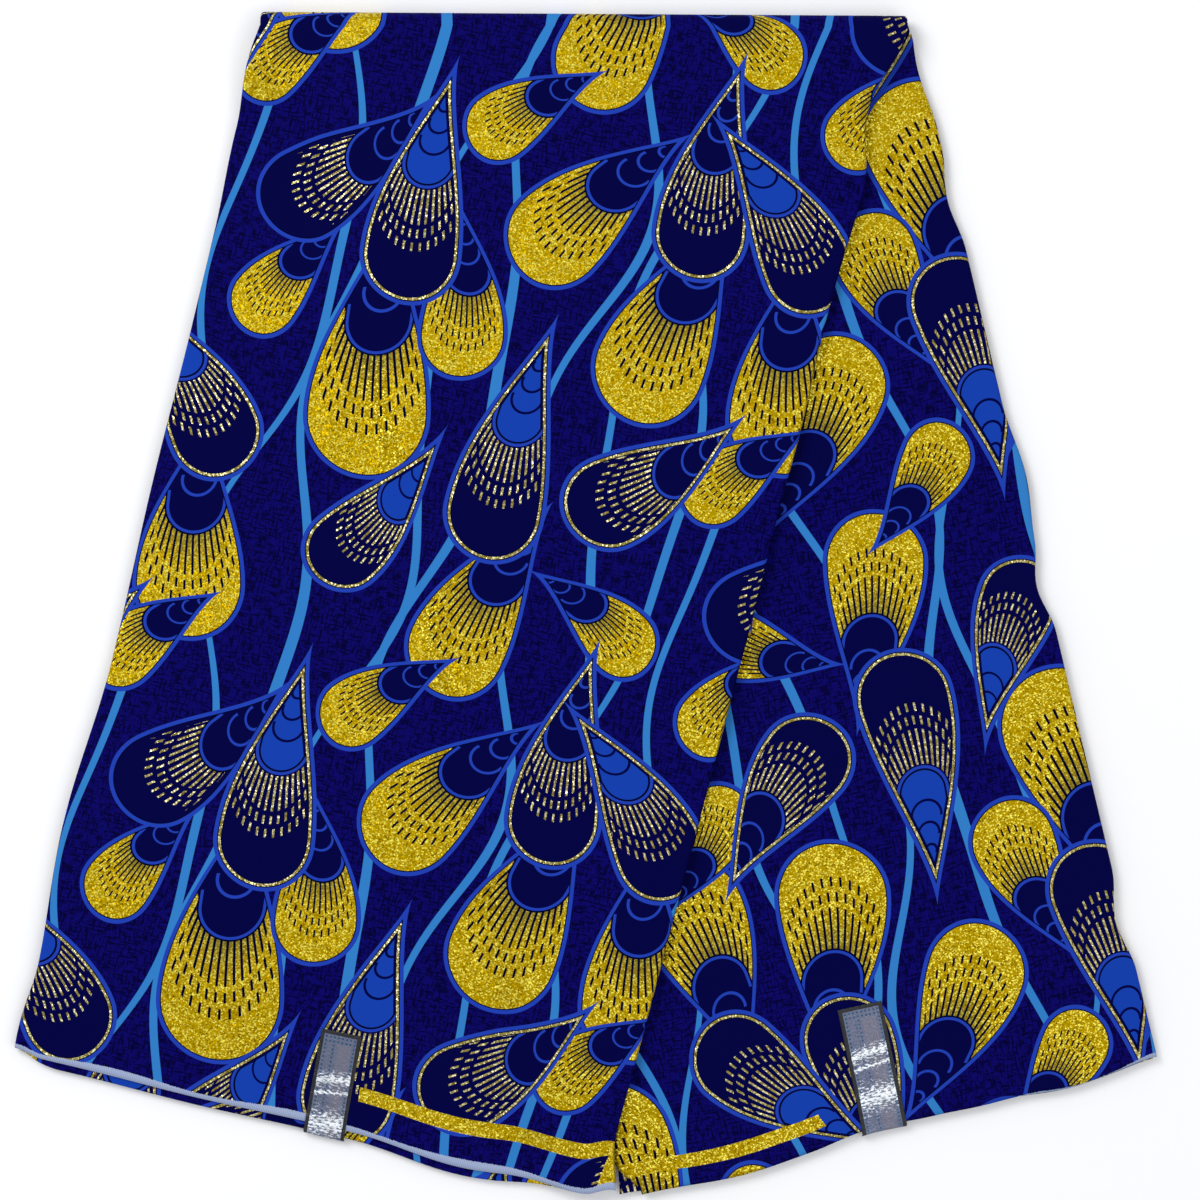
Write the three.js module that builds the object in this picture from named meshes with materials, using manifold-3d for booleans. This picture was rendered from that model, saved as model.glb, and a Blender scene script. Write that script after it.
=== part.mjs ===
// A length of printed cotton, folded into a narrow pile and then once across, with its two falls fanned
// out. Millimetres, +Z up. The pile lies on Z = 0, its top fold runs along X at the +Y end, and the origin
// is at the middle of its footprint. The front fall lies on the right fall.

import * as THREE from 'three';
import { mergeVertices } from 'three/addons/utils/BufferGeometryUtils.js';
import Module from 'manifold-3d';

// Driving dimensions
const wall = 1.0; // one sheet, with the nap that it stands proud by
const gap = 0.3; // clearance between neighbouring pieces
const pile = 5.2; // hidden layers of one fall
const foldPuff = 1.5; // how much the pile swells at the top fold
const hemThinning = 1.6; // how much each fall thins towards its hem
const hemThinningReach = 60;
const lipRadius = 2.0; // the sheets' curl at a side edge
const lipDrop = 0.8; // and how far it hangs below the curl
const tailLength = 10; // sheet that lies under the pile behind the fold
const tuck = 18; // how far the right sheet reaches under the front fall
const cornerDraw = 14; // how far its hem corner draws back out
const rightStart = 14.5; // how far below the fold the right sheet begins
const leafPeep = 3.8; // how far the second leaf shows under the front hem
const rightPeep = 0.8; // and under the right hem
const labelWall = 0.6;
const labelBend = 1.4;
const labelLowest = 1.0;

// Corners of the two falls in plan. The right fall starts where the front fall's right edge does.
const foldLeft = new THREE.Vector2(-170, 314);
const foldRight = new THREE.Vector2(172, 313);
const frontHemLeft = new THREE.Vector2(-302, -238);
const frontHemRight = new THREE.Vector2(8, -311);
const rightHemLeft = new THREE.Vector2(17, -313);
const rightHemRight = new THREE.Vector2(303, -242);

// Swings of each edge: at is the place along it from 0 to 1, out the swing and reach its half length
const frontLeftSwings = [
  { at: 0.05, out: 3, reach: 0.06 },
  { at: 0.12, out: 1.5, reach: 0.09 },
  { at: 0.45, out: 1, reach: 0.15 },
  { at: 0.78, out: 5, reach: 0.16 },
  { at: 0.98, out: 2.5, reach: 0.07 },
];
const frontRightSwings = [
  { at: 0.08, out: -9, reach: 0.085 },
  { at: 0.25, out: -2.5, reach: 0.14 },
  { at: 0.42, out: -1, reach: 0.1 },
  { at: 1.02, out: 9.5, reach: 0.07 },
];
const rightRightSwings = [
  { at: 0.05, out: -3, reach: 0.06 },
  { at: 0.175, out: -3.5, reach: 0.05 },
  { at: 0.44, out: 3.5, reach: 0.07 },
  { at: 0.545, out: -4.5, reach: 0.045 },
  { at: 0.865, out: -4.5, reach: 0.05 },
];
const frontHemSwings = [
  { at: 0, out: -2.5, reach: 0.04 },
  { at: 0.3, out: 1, reach: 0.2 },
  { at: 0.74, out: 5, reach: 0.18 },
  { at: 0.93, out: 3.2, reach: 0.12 },
  { at: 1, out: -4, reach: 0.05 },
];
const rightHemSwings = [
  { at: 0.2, out: 3.6, reach: 0.2 },
  { at: 0.45, out: -3.2, reach: 0.12 },
  { at: 0.56, out: -1.4, reach: 0.12 },
  { at: 0.84, out: 2.6, reach: 0.12 },
  { at: 1, out: -2, reach: 0.08 },
];

// Broad swells of the laid cloth: u across a fall, v down it, height, and the half widths
const frontSwells = [
  { u: 0.3, v: 0.3, height: 1.2, across: 0.25, down: 0.3 },
  { u: 0.72, v: 0.55, height: -0.9, across: 0.2, down: 0.35 },
  { u: 0.2, v: 0.72, height: 1.0, across: 0.16, down: 0.22 },
  { u: 0.6, v: 0.86, height: 0.8, across: 0.14, down: 0.1 },
];
const rightSwells = [
  { u: 0.75, v: 0.4, height: 0.9, across: 0.2, down: 0.2 },
  { u: 0.6, v: 0.72, height: -0.7, across: 0.22, down: 0.18 },
  { u: 0.85, v: 0.86, height: 0.8, across: 0.14, down: 0.1 },
];

// Ridges of the layered edges, from the top down: how far each lies inside the fall's outline
const sideRidges = [{ inset: 0.3 }, { inset: 1.1 }, { inset: 0.5 }];
const hemRidges = [{ inset: 3.2 }, { inset: 0.8 }, { inset: 2.4 }];
const ridgeDepth = 1.1;

// Labels in their fall's own coordinates: u of both sides at the start and at the hem, and the start's v
const frontLabelPlace = { leftTop: 0.482, rightTop: 0.55, leftHem: 0.482, rightHem: 0.55, start: 0.917 };
const rightLabelPlace = { leftTop: 0.44, rightTop: 0.526, leftHem: 0.43, rightHem: 0.517, start: 0.89 };

const frontLength = foldLeft.distanceTo(frontHemLeft);
const lipHeight = lipRadius + lipDrop;
const sheet = wall + gap;
const stepUp = pile + wall + 2 * gap; // from the floor to the front fall's underside on the right fall
const foldRadius = (stepUp + pile + sheet + foldPuff) / 2;
const thinningShare = hemThinningReach / frontLength;
const tailEnd = foldRadius + tailLength;

// Places down a fall, from 0 at the fold to 1 at the hem
const puffEnd = 0.16; // the swelling of the fold ends here
const drawStart = 0.84; // the tuck begins to draw back
const slotEnd = 0.97; // and the right sheet's left edge comes out from under the front fall
const hemStart = 0.85; // the hems' swings begin to show
const cornerStart = 0.9; // the right fall's corner begins to follow its own hem

const { lerp, smoothstep, degToRad } = THREE.MathUtils;
const bump = (x) => (Math.abs(x) < 1 ? 0.5 + 0.5 * Math.cos(Math.PI * x) : 0);
const down = (length) => length / frontLength;

function rows(start, end, count) {
  return Array.from({ length: count + 1 }, (_, i) => lerp(start, end, i / count));
}

function swing(table, at) {
  return table.reduce((sum, row) => sum + row.out * bump((at - row.at) / row.reach), 0);
}

function swell(table, u, v) {
  return table.reduce(
    (sum, row) => sum + row.height * bump((u - row.u) / row.across) * bump((v - row.v) / row.down), 0);
}

// A point on an edge from start to end, swung outwards. It runs straight on past either end.
function edgePoint(start, end, table, side, v) {
  const along = end.clone().sub(start);
  const outward = new THREE.Vector2(along.y, -along.x).normalize().multiplyScalar(side);
  return start.clone().addScaledVector(along, v).addScaledVector(outward, swing(table, v));
}

const frontLeftEdge = (v) => edgePoint(foldLeft, frontHemLeft, frontLeftSwings, 1, v);
const frontRightEdge = (v) => edgePoint(foldRight, frontHemRight, frontRightSwings, -1, v);
const rightRightEdge = (v) => edgePoint(foldRight, rightHemRight, rightRightSwings, -1, v);

// How far the right sheet reaches under the front fall. Near the hem its corner draws back.
function tuckAt(v) {
  return tuck * (1 - smoothstep(v, drawStart, slotEnd)) - cornerDraw * smoothstep(v, slotEnd, 1);
}

const thinned = (v) => hemThinning * smoothstep(v, 1 - thinningShare, 1);

// Stations down a fall, shared by all that lies on each other, and closer at the hollows of the right edge.
// The last ones carry the second leaf.
const behindTail = [down(tailEnd + 1), down(tailEnd + 3)];
const laidStations = [
  0.09, 0.135, 0.175, 0.22, 0.28, 0.34, 0.4, 0.445, 0.49, 0.545, 0.6, 0.66, 0.72, 0.775, 0.825, 0.865, 0.9];
const bodyStations = [...behindTail, ...laidStations];
const leafStations = [0.945, 0.985, 1];
const leafDip = (v) => sheet * smoothstep(v, bodyStations.at(-1), leafStations[0]);

// Plan point of a fall: inset mm inside its edges, u from 0 to 1 between them
function frontPlan(u, v, inset = 0) {
  const left = frontLeftEdge(v);
  const right = frontRightEdge(v);
  const across = right.clone().sub(left).normalize();
  left.addScaledVector(across, inset);
  right.addScaledVector(across, -inset);
  const point = left.lerp(right, u);
  point.y -= swing(frontHemSwings, u) * smoothstep(v, hemStart, 1);
  return point;
}

function rightPlan(u, v, leftTuck, inset = 0) {
  const hemLine = smoothstep(v, cornerStart, 1);
  const left = frontRightEdge(v);
  left.y = lerp(left.y, rightHemLeft.y - (v - 1) * frontLength, hemLine);
  left.x -= leftTuck;
  const right = rightRightEdge(v);
  right.x -= inset;
  const point = left.lerp(right, u);
  point.y -= swing(rightHemSwings, u) * smoothstep(v, hemStart, 1);
  return point;
}

// The right fall's hidden edge runs down under the front fall, which steps down to the floor beside it.
// Close to the fold the step fades out.
const underEdge = { perV: 0.9, halfSlope: 0.036, leastStart: 0.03, leastEnd: 0.09 };
const stepFade = { start: 0.03, end: 0.11 };
const slopeStart = (v) => Math.max(underEdge.perV * v - underEdge.halfSlope, underEdge.leastStart);
const slopeEnd = (v) => Math.max(underEdge.perV * v + underEdge.halfSlope, underEdge.leastEnd);

// Heights of the sheets' outer faces. The right one swells only clear of the front fall, from swellFree on.
const swellFree = { start: 0.15, end: 0.4 };
function rightTop(u, v) {
  const free = smoothstep(u, swellFree.start, swellFree.end);
  return pile + sheet - thinned(v) + free * swell(rightSwells, u, v);
}

function frontTop(u, v) {
  const beside = 1 - smoothstep(u, slopeStart(v), slopeEnd(v));
  const dropped = smoothstep(v, stepFade.start, stepFade.end) * beside;
  const step = (stepUp - thinned(v)) * (1 - dropped);
  const puff = foldPuff * (1 - smoothstep(v, down(foldRadius), puffEnd));
  return step + pile + sheet + puff - thinned(v) + swell(frontSwells, u, v);
}

// Columns follow the step, so that the mesh has no saw edge along it.
const leftColumns = 5;
const slopeColumns = 3;
const overColumns = 5;
function frontColumns(v) {
  const columns = [];
  for (let i = 0; i < leftColumns; i++) columns.push(lerp(0, slopeStart(v), i / leftColumns));
  for (let i = 0; i < slopeColumns; i++) columns.push(lerp(slopeStart(v), slopeEnd(v), i / slopeColumns));
  for (let i = 0; i <= overColumns; i++) columns.push(lerp(slopeEnd(v), 1, i / overColumns));
  return columns;
}

const rightColumnCount = 8;
const rightColumns = rows(0, 1, rightColumnCount);

// Meshes
class Shape {
  constructor() {
    this.points = [];
    this.faces = [];
  }

  addGrid(grid) {
    return grid.map((line) => line.map((point) => this.points.push(point) - 1));
  }

  quad(a, b, c, d) {
    this.faces.push([a, b, c], [a, c, d]);
  }

  surface(ids, flip) {
    for (let j = 0; j + 1 < ids.length; j++) {
      for (let i = 0; i + 1 < ids[j].length; i++) {
        const corners = [ids[j][i], ids[j][i + 1], ids[j + 1][i + 1], ids[j + 1][i]];
        this.quad(...(flip ? corners.reverse() : corners));
      }
    }
  }

  band(ringA, ringB) {
    ringA.forEach((a, k) => {
      const next = (k + 1) % ringA.length;
      this.quad(a, ringB[k], ringB[next], ringA[next]);
    });
  }

  // Turned so that its faces look out, whichever way the grids ran
  geometry() {
    let volume = 0;
    for (const [a, b, c] of this.faces) {
      volume += this.points[a].dot(this.points[b].clone().cross(this.points[c]));
    }
    const faces = volume < 0 ? this.faces.map(([a, b, c]) => [a, c, b]) : this.faces;
    const numbers = this.points.flatMap((point) => point.toArray());
    const geometry = new THREE.BufferGeometry();
    geometry.setAttribute('position', new THREE.Float32BufferAttribute(numbers, 3));
    geometry.setIndex(faces.flat());
    return geometry;
  }
}

function rim(grid) {
  const last = grid.length - 1;
  const side = grid[0].length - 1;
  const ring = grid[0].slice(0, side);
  for (let j = 0; j < last; j++) ring.push(grid[j][side]);
  for (let i = side; i > 0; i--) ring.push(grid[last][i]);
  for (let j = last; j > 0; j--) ring.push(grid[j][0]);
  return ring;
}

// A sheet of cloth between two like grids
function wallGeometry(outer, inner) {
  const shape = new Shape();
  const outerIds = shape.addGrid(outer);
  const innerIds = shape.addGrid(inner);
  shape.surface(outerIds, false);
  shape.surface(innerIds, true);
  shape.band(rim(outerIds), rim(innerIds));
  return shape.geometry();
}

// The curl at a side edge: how far in from the edge and how far below the face, outside and inside
const lipProfile = [{ outIn: 0, outDown: lipHeight, inIn: wall, inDown: lipHeight }];
for (const angle of [0, 30, 60, 90]) {
  const c = Math.cos(degToRad(angle));
  const s = Math.sin(degToRad(angle));
  lipProfile.push({
    outIn: lipRadius * (1 - c),
    outDown: lipRadius * (1 - s),
    inIn: lipRadius - (lipRadius - wall) * c,
    inDown: lipRadius - (lipRadius - wall) * s,
  });
}

const vector = (plan, z) => new THREE.Vector3(plan.x, plan.y, z);

// Stations of the front sheet along its length: hem, body, round the fold and back along the floor
function frontStations() {
  const start = down(foldRadius);
  const laid = [start, ...bodyStations, ...leafStations].reverse().map((v) => ({ v, angle: 90 }));
  const fold = [60, 30, 0, -30, -60, -90].map((angle) => ({ v: start, angle }));
  return [...laid, ...fold, { v: down(tailEnd), angle: -90, onFloor: true }];
}

function frontSheet() {
  const outer = [];
  const inner = [];
  for (const { v, angle, onFloor } of frontStations()) {
    const c = Math.cos(degToRad(angle));
    const s = Math.sin(degToRad(angle));
    const normal = new THREE.Vector3(0, c, s);
    const place = (u, inset) => {
      const radius = frontTop(u, v) / 2;
      const point = vector(frontPlan(u, v, inset), frontTop(u, v));
      if (angle === 90) return point;
      if (onFloor) return point.setZ(0);
      return new THREE.Vector3(point.x, point.y + radius * c, radius * (1 + s));
    };
    const outerRow = [];
    const innerRow = [];
    const addLip = (u, mirrored) => {
      const profile = mirrored ? lipProfile.slice().reverse() : lipProfile;
      for (const row of profile) {
        outerRow.push(place(u, row.outIn).addScaledVector(normal, -row.outDown));
        innerRow.push(place(u, row.inIn).addScaledVector(normal, -row.inDown));
      }
    };
    addLip(0, false);
    for (const u of frontColumns(v).slice(1, -1)) {
      outerRow.push(place(u, lipRadius));
      innerRow.push(place(u, lipRadius).addScaledVector(normal, -wall));
    }
    addLip(1, true);
    outer.push(outerRow);
    inner.push(innerRow);
  }
  return wallGeometry(outer, inner);
}

function rightSheet() {
  const outer = [];
  const inner = [];
  for (const v of [down(rightStart), ...bodyStations, ...leafStations]) {
    const outerRow = [];
    const innerRow = [];
    for (const u of rightColumns.slice(0, -1)) {
      const plan = rightPlan(u, v, tuckAt(v), lipRadius);
      outerRow.push(vector(plan, rightTop(u, v)));
      innerRow.push(vector(plan, rightTop(u, v) - wall));
    }
    for (const row of lipProfile.slice().reverse()) {
      outerRow.push(vector(rightPlan(1, v, tuckAt(v), row.outIn), rightTop(1, v) - row.outDown));
      innerRow.push(vector(rightPlan(1, v, tuckAt(v), row.inIn), rightTop(1, v) - row.inDown));
    }
    outer.push(outerRow);
    inner.push(innerRow);
  }
  return wallGeometry(outer, inner);
}

// A second leaf lies in the dip of the hidden layers, under the sheet's last stretch.
function frontLeaf() {
  const outer = [];
  const inner = [];
  const side = lipRadius + gap;
  const hiddenColumns = 4; // the leaf ends short of the front hem's right corner
  for (const v of [...leafStations, 1 + down(leafPeep)]) {
    const level = Math.min(v, 1);
    const columns = frontColumns(level).slice(0, -hiddenColumns);
    outer.push(columns.map((u) => vector(frontPlan(u, v, side), frontTop(u, level) - sheet)));
    inner.push(columns.map((u) => vector(frontPlan(u, v, side), frontTop(u, level) - sheet - wall)));
  }
  return wallGeometry(outer, inner);
}

function rightLeaf() {
  const outer = [];
  const inner = [];
  const clear = 2; // to the right of the front fall's edge
  for (const v of [...leafStations, 1 + down(rightPeep)]) {
    const level = Math.min(v, 1);
    const plan = (u) => rightPlan(u, v, -clear, lipRadius + gap);
    outer.push(rightColumns.map((u) => vector(plan(u), rightTop(u, level) - sheet)));
    inner.push(rightColumns.map((u) => vector(plan(u), rightTop(u, level) - sheet - wall)));
  }
  return wallGeometry(outer, inner);
}

// A block of layers: a top and a bottom grid, joined by rings that step in and out at the layers' folds
function blockGeometry(grid, rings) {
  const shape = new Shape();
  const side = grid[0].length - 1;
  const last = grid.length - 1;
  const insideIds = (pick) => grid.map((line, j) => line.map((cell, i) => {
    const onRim = i === 0 || j === 0 || i === side || j === last;
    return onRim ? -1 : shape.points.push(pick(cell)) - 1;
  }));
  const rimCells = rim(grid.map((line, j) => line.map((_, i) => [j, i])));
  const ringIds = rings.map((ring) => rimCells.map(([j, i]) => shape.points.push(ring(grid[j][i])) - 1));
  const addFace = (pick, ring, flip) => {
    const ids = insideIds(pick);
    rimCells.forEach(([j, i], k) => { ids[j][i] = ring[k]; });
    shape.surface(ids, flip);
  };
  addFace((cell) => cell.top, ringIds[0], false);
  addFace((cell) => cell.bottom, ringIds.at(-1), true);
  for (let k = 0; k + 1 < ringIds.length; k++) shape.band(ringIds[k], ringIds[k + 1]);
  return shape.geometry();
}

// Rings from the top down: share of the height below the sheet's lip, and how far in each lies
function layerLevels() {
  const levels = [
    { below: 0, share: 0, side: lipRadius, hem: hemRidges[0].inset + 1 },
    { below: lipRadius - sheet, share: 0, side: sheet, hem: hemRidges[0].inset },
    { below: lipHeight - sheet + gap, share: 0, side: sheet, hem: hemRidges[0].inset },
  ];
  const count = sideRidges.length;
  for (let k = 0; k < count; k++) {
    const peak = { side: sideRidges[k].inset, hem: hemRidges[k].inset };
    levels.push({ share: (k + 0.25) / count, ...peak });
    levels.push({ share: (k + 0.75) / count, ...peak });
    levels.push({ share: (k + 1) / count, side: peak.side + ridgeDepth, hem: peak.hem + ridgeDepth });
  }
  return levels.map((level) => ({ below: lipHeight - sheet + gap, ...level }));
}

function frontBlock() {
  const innerRadius = foldRadius - sheet;
  const foldInset = 2.5; // the layers end short of the sheet's curl at both ends of the fold
  const quietReach = 12; // the sides' ridges start this far past the sheet's tail
  const start = down(foldRadius);
  const stations = [start, ...bodyStations, ...leafStations];
  const grid = stations.map((v, j) => frontColumns(v).map((u, i, columns) => {
    const floor = j < 2 ? sheet : 0;
    const ceiling = frontTop(u, v) - sheet - leafDip(v);
    const plan = frontPlan(u, v, lipRadius);
    return {
      u, v, floor, ceiling,
      top: vector(plan, ceiling),
      bottom: vector(plan, floor),
      atSide: i === 0 || i === columns.length - 1,
      atFold: j === 0,
      atHem: j === stations.length - 1,
    };
  }));
  const rings = layerLevels().map(({ below, share, side, hem }) => (cell) => {
    const height = cell.ceiling - cell.floor;
    const z = cell.ceiling - below - (height - below) * share;
    const quiet = 1 - smoothstep(cell.v, down(tailEnd), down(tailEnd + quietReach));
    const beside = lerp(side, Math.max(side, sheet), quiet) + (cell.atFold ? foldInset : 0);
    const v = cell.atHem ? cell.v - down(hem) : cell.v;
    const plan = frontPlan(cell.u, v, cell.atSide ? beside : lipRadius);
    if (cell.atFold) {
      const middle = (z - cell.floor) / height * 2 - 1;
      plan.y += innerRadius * Math.sqrt(Math.max(0, 1 - middle * middle));
    }
    return vector(plan, z);
  });
  return blockGeometry(grid, rings);
}

function rightBlock() {
  const rooted = 8; // how far the block reaches into the front fall's, past the sheet
  const stations = [...bodyStations, ...leafStations];
  const columns = [{ u: 0, rooted }, ...rightColumns.map((u) => ({ u, rooted: 0 }))];
  const tuckOf = (v, column) => (column.rooted ? Math.max(tuckAt(v), 0) + rooted : tuckAt(v));
  const grid = stations.map((v, j) => columns.map((column, i) => {
    const ceiling = rightTop(column.u, v) - sheet - leafDip(v);
    const plan = rightPlan(column.u, v, tuckOf(v, column), lipRadius);
    return {
      v, column, ceiling,
      top: vector(plan, ceiling),
      bottom: vector(plan, 0),
      atRight: i === columns.length - 1,
      atHem: j === stations.length - 1,
    };
  }));
  const rings = layerLevels().map(({ below, share, side, hem }) => (cell) => {
    const z = (cell.ceiling - below) * (1 - share);
    const v = cell.atHem ? cell.v - down(hem) : cell.v;
    const inset = cell.atRight ? side : lipRadius;
    return vector(rightPlan(cell.column.u, v, tuckOf(cell.v, cell.column), inset), z);
  });
  return blockGeometry(grid, rings);
}

// The room that the right sheet and its layers take under the front fall
function tuckRoom() {
  const outside = 24;
  const belowFloor = -5;
  const early = down(rightStart - 3);
  const pastHem = 1.02;
  const upper = [];
  const lower = [];
  for (const v of [early, ...bodyStations, ...leafStations, pastHem]) {
    const ends = [tuckAt(v) + gap, tuckAt(v) - outside].map((reach) => rightPlan(0, v, reach));
    upper.push(ends.map((plan) => vector(plan, rightTop(0, Math.min(v, 1)) + gap)));
    const underneath = v < behindTail[1] ? pile : belowFloor;
    lower.push(ends.map((plan) => vector(plan, underneath)));
  }
  return wallGeometry(upper, lower);
}

// A label is made from its fall's own points, moved out, and bends down over the hem.
function label(place, plan, top, peep) {
  const outer = [];
  const inner = [];
  const across = rows(0, 1, 3);
  const reach = 1 + down(peep + gap);
  const laid = [...bodyStations, ...leafStations].filter((v) => v > place.start);
  const path = [place.start, ...laid, reach];
  const rowOf = (v, outwards, drop) => across.map((t) => {
    const along = (Math.min(v, 1) - place.start) / (1 - place.start);
    const leftSide = lerp(place.leftTop, place.leftHem, along);
    const rightSide = lerp(place.rightTop, place.rightHem, along);
    const u = lerp(leftSide, rightSide, t);
    const point = plan(u, v);
    return new THREE.Vector3(point.x, point.y - outwards, top(u, Math.min(v, 1)) + gap - drop);
  });
  for (const v of path) {
    outer.push(rowOf(v, 0, -labelWall));
    inner.push(rowOf(v, 0, 0));
  }
  for (const angle of [45, 90]) {
    const c = 1 - Math.cos(degToRad(angle));
    const s = Math.sin(degToRad(angle));
    outer.push(rowOf(reach, (labelBend + labelWall) * s, (labelBend + labelWall) * c - labelWall));
    inner.push(rowOf(reach, labelBend * s, labelBend * c));
  }
  const drop = top(place.leftHem, 1) + gap - labelLowest;
  outer.push(rowOf(reach, labelBend + labelWall, drop));
  inner.push(rowOf(reach, labelBend, drop));
  return wallGeometry(outer, inner);
}

// Joining and cutting of the hidden layers
const wasm = await Module();
wasm.setup();

function toManifold(geometry) {
  const merged = mergeVertices(geometry, 1e-4);
  return new wasm.Manifold(new wasm.Mesh({
    numProp: 3,
    vertProperties: new Float32Array(merged.attributes.position.array),
    triVerts: new Uint32Array(merged.index.array),
  }));
}

function fromManifold(solid) {
  const { vertProperties, triVerts } = solid.getMesh();
  const geometry = new THREE.BufferGeometry();
  geometry.setAttribute('position', new THREE.BufferAttribute(vertProperties, 3));
  geometry.setIndex(new THREE.BufferAttribute(triVerts, 1));
  return geometry;
}

const hiddenSolid = toManifold(frontBlock())
  .subtract(toManifold(tuckRoom()))
  .add(toManifold(rightBlock()));

// Scene
const cotton = new THREE.MeshStandardMaterial({ color: 0x0b0660, roughness: 0.75, metalness: 0 });
const foil = new THREE.MeshStandardMaterial({ color: 0xb9c2cc, roughness: 0.25, metalness: 0.9 });

const part = new THREE.Group();
function add(name, geometry, material) {
  const mesh = new THREE.Mesh(geometry, material);
  mesh.name = name;
  part.add(mesh);
}

add('hidden_layers', fromManifold(hiddenSolid), cotton);
add('front_stretch', frontSheet(), cotton);
add('right_stretch', rightSheet(), cotton);
add('front_second_leaf', frontLeaf(), cotton);
add('right_second_leaf', rightLeaf(), cotton);
const onFront = (u, v) => frontPlan(u, v, lipRadius);
const onRight = (u, v) => rightPlan(u, v, tuckAt(v), lipRadius);
add('front_label', label(frontLabelPlace, onFront, frontTop, leafPeep), foil);
add('right_label', label(rightLabelPlace, onRight, rightTop, rightPeep), foil);

export default part;
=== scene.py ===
# Folded length of wax print cotton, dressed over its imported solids. Plans are worked out in mm.
import math

import bpy
import numpy as np
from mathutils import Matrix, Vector


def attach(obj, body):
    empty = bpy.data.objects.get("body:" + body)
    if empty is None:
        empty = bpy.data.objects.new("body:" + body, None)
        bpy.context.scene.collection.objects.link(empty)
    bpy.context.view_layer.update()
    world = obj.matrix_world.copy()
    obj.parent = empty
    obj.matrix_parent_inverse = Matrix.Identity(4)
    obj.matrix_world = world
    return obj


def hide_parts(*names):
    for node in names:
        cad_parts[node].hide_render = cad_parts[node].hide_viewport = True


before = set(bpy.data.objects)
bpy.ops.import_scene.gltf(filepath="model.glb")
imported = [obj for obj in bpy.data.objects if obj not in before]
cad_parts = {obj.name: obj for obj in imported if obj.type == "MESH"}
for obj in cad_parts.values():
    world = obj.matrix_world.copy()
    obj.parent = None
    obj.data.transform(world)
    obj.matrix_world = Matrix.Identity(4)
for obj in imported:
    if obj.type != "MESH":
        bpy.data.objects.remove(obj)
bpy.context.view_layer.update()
print("frame loaded")

mm = 0.001

# The solids' own sizes, repeated from the part's source
solid = {
    "wall": 1.0, "gap": 0.3, "pile": 5.2, "foldPuff": 1.5, "hemThinning": 1.6, "hemThinningReach": 60,
    "lipRadius": 2.0, "lipDrop": 0.8, "tailLength": 10, "tuck": 18, "cornerDraw": 14,
    "leafPeep": 3.8, "rightPeep": 0.8, "labelBend": 1.4, "labelLowest": 1.0,
    "puffEnd": 0.16, "drawStart": 0.84, "slotEnd": 0.97, "hemStart": 0.85, "cornerStart": 0.9,
}
corner = {
    "foldLeft": (-170, 314), "foldRight": (172, 313),
    "frontHemLeft": (-302, -238), "frontHemRight": (8, -311),
    "rightHemLeft": (17, -313), "rightHemRight": (303, -242),
}
corner = {name: np.array(xy, float) for name, xy in corner.items()}

# Swings of the edges: place along the edge, how far out, half length
swings = {
    "frontLeft": [(0.05, 3, 0.06), (0.12, 1.5, 0.09), (0.45, 1, 0.15), (0.78, 5, 0.16), (0.98, 2.5, 0.07)],
    "frontRight": [(0.085, -9, 0.07), (0.25, -2.5, 0.14), (0.42, -1, 0.1), (1.02, 9.5, 0.07)],
    "rightRight": [(0.006, -2, 0.02), (0.05, -3, 0.06), (0.175, -3.5, 0.05), (0.44, 3.5, 0.07),
                   (0.545, -4.5, 0.045), (0.865, -4.5, 0.05)],
    "frontHem": [(0, -2.5, 0.04), (0.3, 1, 0.2), (0.74, 5, 0.18), (0.93, 3.2, 0.12), (1, -4, 0.05)],
    "rightHem": [(0.2, 3.6, 0.2), (0.45, -3.2, 0.12), (0.56, -1.4, 0.12), (0.84, 2.6, 0.12), (1, -2, 0.08)],
}
# Broad swells: u, v, height, half widths across and down
swells = {
    "front": [(0.3, 0.3, 1.2, 0.25, 0.3), (0.72, 0.55, -0.9, 0.2, 0.35), (0.2, 0.72, 1.0, 0.16, 0.22),
              (0.6, 0.86, 0.8, 0.14, 0.1)],
    "right": [(0.75, 0.4, 0.9, 0.2, 0.2), (0.6, 0.72, -0.7, 0.22, 0.18), (0.85, 0.86, 0.8, 0.14, 0.1)],
}
# Soft creases of the laid cloth, from one point to the other: u, v, u, v, half width in mm, height in mm
creases = {
    "front": [
        (0.5, 0.02, 0.47, 0.4, 5, -0.5), (0.49, 0.45, 0.52, 0.97, 6, 0.45),
        (0.06, 0.16, 0.3, 0.25, 7, 0.4), (0.9, 0.1, 0.97, 0.26, 8, -0.55),
        (0.86, 0.15, 0.93, 0.33, 6, 0.5), (0.02, 0.34, 0.22, 0.41, 7, -0.4),
        (0.1, 0.83, 0.34, 0.91, 8, 0.5), (0.26, 0.94, 0.44, 0.9, 6, -0.4),
        (0.66, 0.74, 0.9, 0.62, 8, 0.4), (0.7, 0.9, 0.97, 0.8, 7, -0.5),
        (0.08, 0.6, 0.16, 0.74, 8, 0.4), (0.97, 0.45, 0.88, 0.6, 6, 0.35),
        (0.25, 0.02, 0.24, 0.98, 4, 0.22), (0.75, 0.04, 0.76, 0.96, 4, -0.22),
    ],
    "right": [
        (0.5, 0.2, 0.95, 0.28, 6, 0.5), (0.2, 0.5, 0.55, 0.42, 7, -0.45),
        (0.6, 0.55, 0.97, 0.53, 7, 0.55), (0.3, 0.76, 0.62, 0.83, 8, 0.5),
        (0.72, 0.86, 0.98, 0.84, 6, -0.5), (0.1, 0.93, 0.3, 0.86, 6, 0.45),
        (0.53, 0.97, 0.6, 0.86, 7, -0.5), (0.47, 0.3, 0.46, 0.97, 4, 0.25),
    ],
}

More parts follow.
